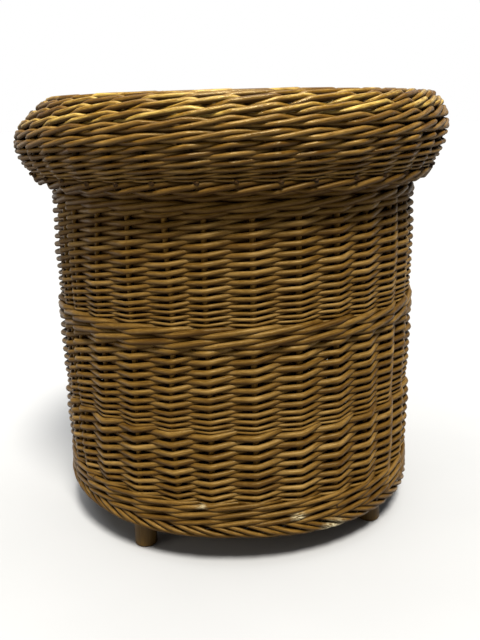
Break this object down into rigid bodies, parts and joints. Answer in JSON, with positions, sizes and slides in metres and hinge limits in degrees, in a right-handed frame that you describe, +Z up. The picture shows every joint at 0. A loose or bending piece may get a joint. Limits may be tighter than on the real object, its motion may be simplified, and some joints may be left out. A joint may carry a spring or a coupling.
{
  "type": "laundry hamper",
  "caption": "Round woven willow laundry hamper on short dowel feet, with a deep lift-off woven lid that has a rolled, overhanging rim.",
  "frame": {"origin": "on the hamper's axis, on the surface that the four feet stand on", "axes": "+Z up along the axis of the basket and lid, -Y towards the front, +X to the right"},
  "size_m": [0.4982, 0.5, 0.499],
  "materials": {
    "willow_wall": "satin",
    "willow_lid": "semi-gloss varnish",
    "willow_border": "satin",
    "stake_willow": "matte",
    "foot_dowel": "satin stain",
    "plywood": "matte",
    "screw_steel": "zinc plated"
  },
  "bodies": {
    "basket": {"foot_front_left": "foot_dowel", "foot_front_right": "foot_dowel", "foot_rear_right": "foot_dowel", "foot_rear_left": "foot_dowel", "foot_screw_front_left": "screw_steel", "foot_screw_front_right": "screw_steel", "foot_screw_rear_right": "screw_steel", "foot_screw_rear_left": "screw_steel", "base_board": "plywood", "foot_border": "willow_border", "bottom_wale": "willow_wall", "lower_randing_second_set": "willow_wall", "lower_randing_first_set": "willow_wall", "middle_wale": "willow_wall", "upper_randing": "willow_wall", "top_wale": "willow_wall", "neck_randing": "willow_wall", "rim_border": "willow_border", "side_stake_01": "stake_willow", "side_stake_02": "stake_willow", "side_stake_03": "stake_willow", "side_stake_04": "stake_willow", "side_stake_05": "stake_willow", "side_stake_06": "stake_willow", "side_stake_07": "stake_willow", "side_stake_08": "stake_willow", "side_stake_09": "stake_willow", "side_stake_10": "stake_willow", "side_stake_11": "stake_willow", "side_stake_12": "stake_willow", "side_stake_13": "stake_willow", "side_stake_14": "stake_willow", "side_stake_15": "stake_willow", "side_stake_16": "stake_willow", "side_stake_17": "stake_willow", "side_stake_18": "stake_willow", "side_stake_19": "stake_willow", "side_stake_20": "stake_willow", "side_stake_21": "stake_willow", "side_stake_22": "stake_willow", "side_stake_23": "stake_willow", "side_stake_24": "stake_willow", "side_stake_25": "stake_willow", "side_stake_26": "stake_willow", "side_stake_27": "stake_willow", "side_stake_28": "stake_willow", "side_stake_29": "stake_willow", "side_stake_30": "stake_willow"},
    "lid": {"lid_stakes_and_border": "willow_border", "lid_randing": "willow_wall", "lid_wale": "willow_lid", "lid_disc_weave": "willow_lid", "lid_sticks": "stake_willow"}
  },
  "joints": [
    {"name": "lid_lift", "type": "slide", "parent": "basket", "child": "lid", "axis": [0, 0, 1], "range_m": [0, 0.25]}
  ]
}
